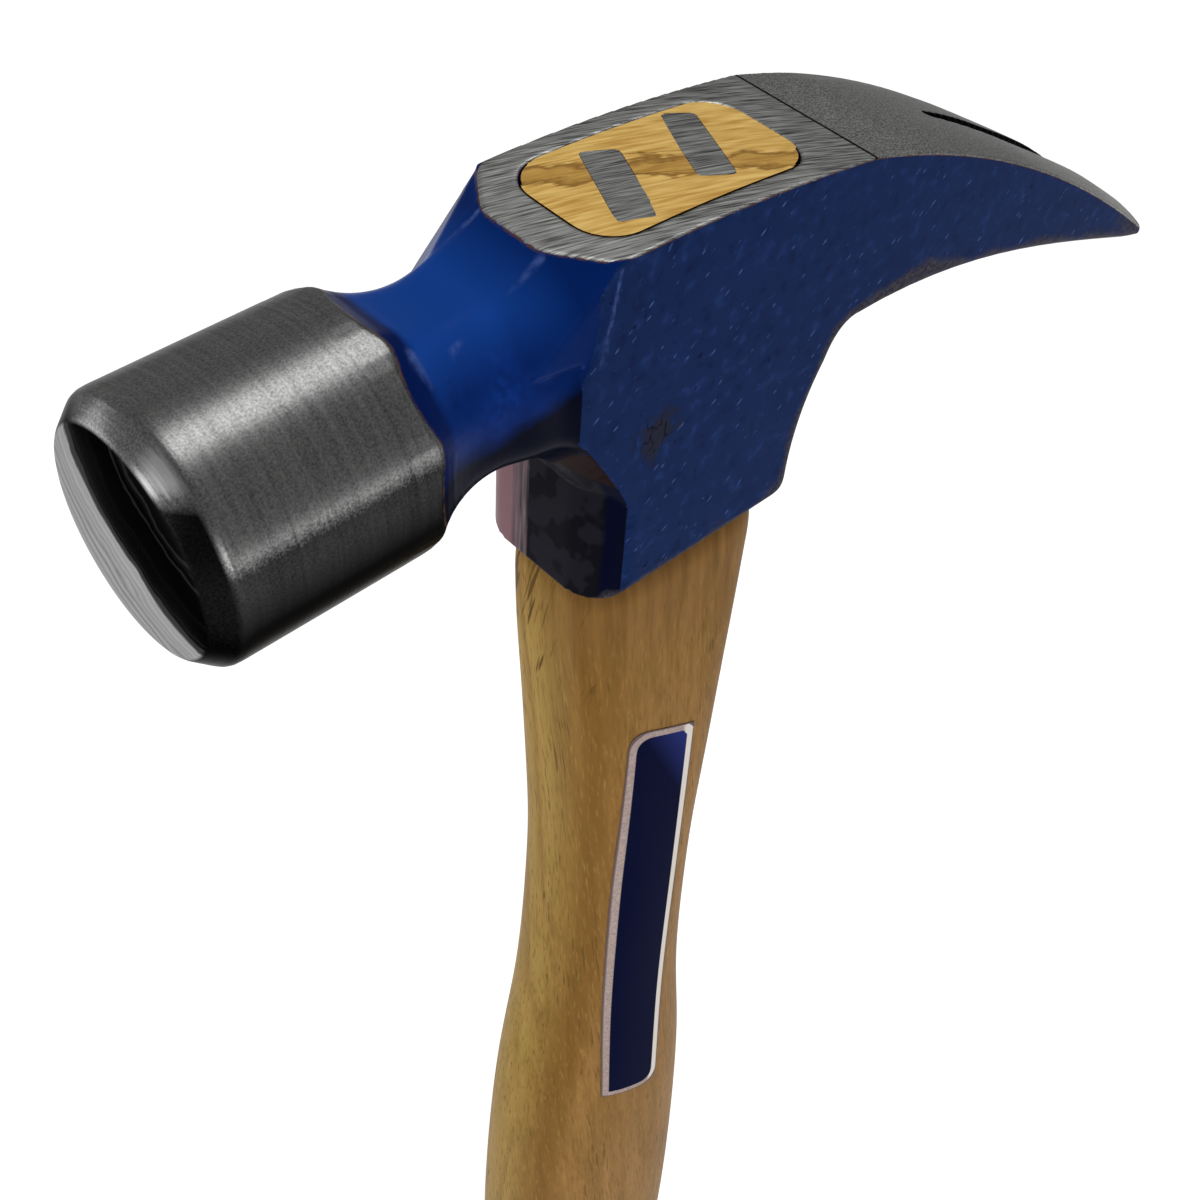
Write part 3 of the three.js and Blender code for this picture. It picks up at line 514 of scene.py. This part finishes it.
    tone = blend(finish, bare, (0, 1), paintTone, steelTone)
    tone = blend(finish, depths["slotWall"], (0.2, 0.7), tone, "#090909")    # the nail slot's walls drawn black
    rough = blend(finish, bare, (0, 1), 0.42 if satin else 0.26, blend(finish, x, (-30, -31), 0.44, 0.3, True), True)
    dents = addNode(finish, "TexNoise", None, {"Vector": local, "Scale": 0.3, "Detail": 2.0})
    height = blend(finish, bare, (0, 1), dents,
                   blend(finish, x, (-30, -31),
                         addNode(finish, "Math", {"operation": "MULTIPLY"}, {0: belt, 1: 0.25}),
                         addNode(finish, "Math", {"operation": "MULTIPLY"}, {0: rings, 1: 0.6}), True), True)
    normal = addNode(finish, "Bump", None, {"Height": height, "Distance": 0.09 * mm, "Strength": 0.6})
    surface = addNode(finish, "BsdfPrincipled", None,
                      {"Base Color": tone, "Metallic": bare, "Roughness": rough, "IOR": ior, "Normal": normal,
                       "Specular Tint": "#b0b0b0"})
    addNode(finish, "OutputMaterial", None, {"Surface": surface})
    return finish


wetEnamel = headFinish("glossNavyEnamelOnForgedSteel", 1.07, False)
satinEnamel = headFinish("satinNavyEnamelOnForgedSteel", 1.06, True)
dullEnamel = headFinish("dullEnamelUnderHeadOnForgedSteel", 1.05, False)

# Hickory, turned, sanded and lacquered: straight grain along the handle with open dark pores.
# Grain lines about 1 mm apart, pores 0.4 mm wide and 10 mm long, slanted dashes near the skirt.
hickory = newMaterial("lacqueredHickory")
place = addNode(hickory, "TexCoord").outputs["Object"]
local = addNode(hickory, "Mapping", None, {"Vector": place, "Scale": (1000, 1000, 1000)})
x, y, z = addNode(hickory, "SeparateXYZ", None, {0: local}).outputs
leaning = addNode(hickory, "Mapping", None, {"Vector": local, "Rotation": (radians(5), radians(4), 0)})
grain = addNode(hickory, "TexNoise", None,
                {"Vector": addNode(hickory, "Mapping", None, {"Vector": leaning, "Scale": (0.8, 0.8, 0.02)}),
                 "Scale": 1.0, "Detail": 4.0})
oliveTone = blend(hickory, grain, (0.25, 0.75), "#937536", "#a98a4a")
brownTone = blend(hickory, grain, (0.25, 0.75), "#8a6433", "#9f7744")
cornerTone = blend(hickory, grain, (0.25, 0.75), "#775324", "#896431")
woodTone = blend(hickory, y, (0.0, -6.0), oliveTone, cornerTone)
woodTone = blend(hickory, y, (-7.8, -9.6), woodTone, brownTone)
figure = addNode(hickory, "TexNoise", None,
                 {"Vector": addNode(hickory, "Mapping", None, {"Vector": leaning, "Scale": (0.07, 0.07, 0.006)}),
                  "Scale": 1.0, "Detail": 1.0})
figure = addNode(hickory, "Math", {"operation": "SINE"},
                 {0: addNode(hickory, "Math", {"operation": "MULTIPLY"}, {0: figure, 1: 45.0})})
woodTone = blend(hickory, figure, (0.2, 2.2), woodTone, "#7c5c2a")
pores = addNode(hickory, "TexNoise", None,
                {"Vector": addNode(hickory, "Mapping", None, {"Vector": leaning, "Scale": (2.4, 2.4, 0.1)}),
                 "Scale": 1.0, "Detail": 2.0})
poreAreas = addNode(hickory, "TexNoise", None,
                    {"Vector": addNode(hickory, "Mapping", None, {"Vector": local, "Scale": (0.15, 0.15, 0.02)}),
                     "Scale": 1.0, "Detail": 2.0})
pores = addNode(hickory, "Math", {"operation": "ADD"},
                {0: pores, 1: blend(hickory, poreAreas, (0.4, 0.65), -0.1, 0.06, True)})
woodTone = blend(hickory, pores, (0.63, 0.7), woodTone, "#684e25")
specks = addNode(hickory, "TexNoise", None,
                 {"Vector": addNode(hickory, "Mapping", None, {"Vector": leaning, "Scale": (2.6, 2.6, 0.3)}),
                  "Scale": 1.0, "Detail": 3.0})
woodTone = blend(hickory, specks, (0.46, 0.26), woodTone, "#7a5a28")
woodTone = blend(hickory, specks, (0.56, 0.9), woodTone, "#a8884a")
# painted shade on the wood as it nears the skirt, with an uneven edge
shade = addNode(hickory, "Math", {"operation": "ADD"},
                {0: z, 1: blend(hickory, poreAreas, (0.3, 0.7), -6.0, 6.0, True)})
woodTone = blend(hickory, shade, (262, 284), woodTone, blend(hickory, grain, (0.3, 0.7), "#6c4c24", "#8d683a"))
slanted = addNode(hickory, "Mapping", None, {"Vector": local, "Rotation": (radians(-14), 0, 0)})
dashes = addNode(hickory, "TexNoise", None,
                 {"Vector": addNode(hickory, "Mapping", None, {"Vector": slanted, "Scale": (0.5, 1.3, 0.1)}),
                  "Scale": 1.0, "Detail": 2.0})
dashes = addNode(hickory, "Math", {"operation": "ADD"},
                 {0: dashes, 1: blend(hickory, z, (248, 264), -0.2, 0.0, True)})
dashes = addNode(hickory, "Math", {"operation": "ADD"},
                 {0: dashes, 1: blend(hickory, x, (-13.2, -11.5), 0.0, -0.2, True)})
dashes = addNode(hickory, "Math", {"operation": "ADD"},
                 {0: dashes, 1: blend(hickory, y, (-3.0, 2.0), -0.1, 0.02, True)})
woodTone = blend(hickory, dashes, (0.54, 0.64), woodTone, "#5c431b")
woodTone = blend(hickory, z, (277.5, 283.5), woodTone, "#4c3216")    # painted shade, darker up in the skirt
surface = addNode(hickory, "BsdfPrincipled", None, {"Base Color": woodTone, "Roughness": 0.42, "IOR": 1.08})
addNode(hickory, "OutputMaterial", None, {"Surface": surface})

# The same hickory cut across and ground with the top: bright end grain in 0.4 mm belt streaks,
# and a brown band about 3 mm wide that wanders along the kerf
endGrain = newMaterial("beltGroundEndGrain")
place = addNode(endGrain, "TexCoord").outputs["Object"]
local = addNode(endGrain, "Mapping", None, {"Vector": place, "Scale": (1000, 1000, 1000), "Location": (1.5, 0, -330)})
turned = addNode(endGrain, "Mapping", None, {"Vector": local, "Rotation": (0, 0, radians(15))})
streaks = addNode(endGrain, "TexNoise", None,
                  {"Vector": addNode(endGrain, "Mapping", None, {"Vector": turned, "Scale": (0.2, 2.4, 0.2)}),
                   "Scale": 1.0, "Detail": 4.0})
cutTone = blend(endGrain, streaks, (0.33, 0.67), "#c0903a", "#ecc672")
x, y, z = addNode(endGrain, "SeparateXYZ", None, {0: local}).outputs
across = addNode(endGrain, "Math", {"operation": "ADD"},
                 {0: addNode(endGrain, "Math", {"operation": "MULTIPLY"}, {0: x, 1: 0.423}),
                  1: addNode(endGrain, "Math", {"operation": "MULTIPLY"}, {0: y, 1: 0.906})})
wander = blend(endGrain, addNode(endGrain, "TexNoise", None, {"Vector": local, "Scale": 0.2, "Detail": 3.0}),
               (0.3, 0.7), -0.4, 1.7, True)
across = addNode(endGrain, "Math", {"operation": "ABSOLUTE"},
                 {0: addNode(endGrain, "Math", {"operation": "ADD"}, {0: across, 1: wander})})
across = addNode(endGrain, "Math", {"operation": "ADD"},
                 {0: across, 1: blend(endGrain, streaks, (0.35, 0.65), -0.25, 0.25, True)})
band = blend(endGrain, across, (1.9, 1.3), 0.0, 1.0, True)
cutTone = blend(endGrain, band, (0, 1), cutTone, blend(endGrain, streaks, (0.33, 0.67), "#a87d30", "#cfa34f"))
edgeLine = addNode(endGrain, "Math", {"operation": "ABSOLUTE"},
                   {0: addNode(endGrain, "Math", {"operation": "ADD"}, {0: across, 1: -1.35})})
cutTone = blend(endGrain, edgeLine, (0.55, 0.05), cutTone, "#906722")
surface = addNode(endGrain, "BsdfPrincipled", None, {"Base Color": cutTone, "Roughness": 0.6, "IOR": 1.3})
addNode(endGrain, "OutputMaterial", None, {"Surface": surface})

# Steel wedges, ground by the same belt as the top: grey, with the same long scratches
groundSteel = newMaterial("beltGroundSteel")
place = addNode(groundSteel, "TexCoord").outputs["Object"]
local = addNode(groundSteel, "Mapping", None,
                {"Vector": place, "Scale": (1000, 1000, 1000), "Rotation": (0, 0, radians(15))})
belt = addNode(groundSteel, "TexNoise", None,
               {"Vector": addNode(groundSteel, "Mapping", None, {"Vector": local, "Scale": (0.22, 5.0, 0.3)}),
                "Scale": 1.0, "Detail": 4.0})
surface = addNode(groundSteel, "BsdfPrincipled", None,
                  {"Base Color": blend(groundSteel, belt, (0.33, 0.67), "#434343", "#b0b0ae"), "Metallic": 1.0,
                   "Roughness": 0.44, "Specular Tint": "#b0b0b0"})
addNode(groundSteel, "OutputMaterial", None, {"Surface": surface})

# Foil, printed navy inside a pale border under clear film: crisp colours, a soft shine
foil = newMaterial("printedFoil")
place = addNode(foil, "TexCoord").outputs["Object"]
local = addNode(foil, "Mapping", None, {"Vector": place, "Scale": (1000, 1000, 1000)})
x, y, z = addNode(foil, "SeparateXYZ", None, {0: local}).outputs
rim = addNode(foil, "Attribute", {"attribute_name": "fromRim"}).outputs["Fac"]
speckle = addNode(foil, "TexNoise", None, {"Vector": local, "Scale": 2.5, "Detail": 3.0})
borderTone = blend(foil, speckle, (0.3, 0.7), "#9a8784", "#bca9a1")
borderTone = blend(foil, x, (1.6, 2.4), borderTone, "#e6ded6")
navy = blend(foil, speckle, (0.3, 0.7), "#050a28", "#080e30")
upperCorner = addNode(foil, "Math", {"operation": "MULTIPLY"}, {0: x, 1: 2.2})
upperCorner = addNode(foil, "Math", {"operation": "ADD"}, {0: upperCorner, 1: z})
navy = blend(foil, upperCorner, (238, 252), navy, "#2a3578")    # lighter at the upper corner
printTone = blend(foil, rim, (1.22, 1.36), borderTone, navy)
printTone = blend(foil, rim, (0.12, 0.3), "#6c5c5c", printTone)
surface = addNode(foil, "BsdfPrincipled", None, {"Base Color": printTone, "Roughness": 0.45, "IOR": 1.035})
addNode(foil, "OutputMaterial", None, {"Surface": surface})

pieces = [
    (hammerHead, "head", "painted_head", (wetEnamel, satinEnamel, dullEnamel)),
    (handleWood, "handle", "hickory", (hickory, endGrain)),
    (kerfWedge, "wood_wedge", "wedge_wood", (hickory, endGrain)),
    (driven["steel_wedge_front"], "steel_wedge_front", "wedge_steel", (groundSteel,)),
    (driven["steel_wedge_rear"], "steel_wedge_rear", "wedge_steel", (groundSteel,)),
    (handleLabel, "handle_label", "label_foil", (foil,)),
]
for piece, node, slot, materials in pieces:
    for material in materials:
        piece.data.materials.append(material)
    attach(piece, "root")
    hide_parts(node)
# satin paint on the cheeks, dull under the head, gloss and bare steel elsewhere
for face in hammerHead.data.polygons:
    if face.center.x > eyeX - 19.5 * mm and abs(face.center.y) > 10 * mm and abs(face.normal.y) > 0.75:
        face.material_index = 1
    elif face.center.z < topZ - 22.5 * mm and face.center.x > eyeX - 36 * mm:
        face.material_index = 2
for piece in (handleWood, kerfWedge):
    for face in piece.data.polygons:
        face.material_index = int(face.center.z > handle["endGrainZ"] and face.normal.z > 0.9)
print("pieces dressed")

# Studio: a pale floor, a broad lamp overhead, a low strip at the near side, three soft fills
studio = {
    "floorHalf": 2.0,
    "air": 0.38,             # even light from all round
    "glow": 0.48,            # brings the floor up to white where it is seen or mirrored
    "lamps": {
        "overhead": {"at": (0.31, 0.07, 1.2), "size": (0.36, 0.75), "power": 3.6},
        "strip": {"at": (0.30, -0.83, 0.26), "size": (0.5, 0.06), "power": 0.5},
        "nearFill": {"at": (-0.45, -1.15, 0.35), "size": (0.6, 0.5), "power": 4.5},
        "frontFill": {"at": (-1.15, 0.1, 0.5), "size": (0.6, 0.6), "power": 3.6},
        "farFill": {"at": (-0.75, 1.05, 0.35), "size": (0.6, 0.5), "power": 2.6},
    },
}
bpy.ops.object.select_all(action="DESELECT")
bpy.ops.mesh.primitive_plane_add(size=2 * studio["floorHalf"], location=(0, 0, 0))
floor = bpy.context.object
floor.name = "floor"
paper = newMaterial("whitePaper")
rays = addNode(paper, "LightPath").outputs
seen = addNode(paper, "Math", {"operation": "MAXIMUM"}, {0: rays["Is Camera Ray"], 1: rays["Is Glossy Ray"]})
seen = addNode(paper, "Math", {"operation": "MAXIMUM"}, {0: seen, 1: rays["Is Transmission Ray"]})
lit = addNode(paper, "BsdfDiffuse", None, {"Color": "#f0f0f0"})
strength = addNode(paper, "Math", {"operation": "MULTIPLY"}, {0: seen, 1: studio["glow"]})
glow = addNode(paper, "Emission", None, {"Color": "#ffffff", "Strength": strength})
both = addNode(paper, "AddShader", None, {0: lit, 1: glow})
addNode(paper, "OutputMaterial", None, {"Surface": both})
floor.data.materials.append(paper)

aim = Vector((0, 0, 0.3))
for name, spec in studio["lamps"].items():
    bpy.ops.object.light_add(type="AREA", location=spec["at"])
    lamp = bpy.context.object
    lamp.name = name + "Lamp"
    lamp.data.shape = "RECTANGLE"
    lamp.data.size, lamp.data.size_y = spec["size"]
    lamp.data.energy = spec["power"]
    lamp.rotation_euler = (aim - Vector(spec["at"])).to_track_quat("-Z", "Y").to_euler()

world = bpy.data.worlds.new("studioAir")
bpy.context.scene.world = world
world.use_nodes = True
world.node_tree.nodes.clear()
air = addNode(world, "Background", None, {"Color": "#ffffff", "Strength": studio["air"]})
addNode(world, "OutputWorld", None, {"Surface": air})

# Camera, solved from the photograph
view = {"at": (-0.10901, -0.098996, 0.423311), "azimuth": -46.085, "elevation": 47.227, "roll": 4.435, "lens": 51.62}
bpy.ops.object.camera_add()
camera = bpy.context.object
camera.matrix_world = (Matrix.Translation(view["at"])
                       @ Matrix.Rotation(radians(view["azimuth"]), 4, "Z")
                       @ Matrix.Rotation(radians(90 - view["elevation"]), 4, "X")
                       @ Matrix.Rotation(radians(view["roll"]), 4, "Z"))
camera.data.lens = view["lens"]
camera.data.sensor_width = 36
camera.data.clip_start = 0.01
bpy.context.scene.camera = camera
bpy.context.scene.view_settings.view_transform = "Standard"
print("studio set")
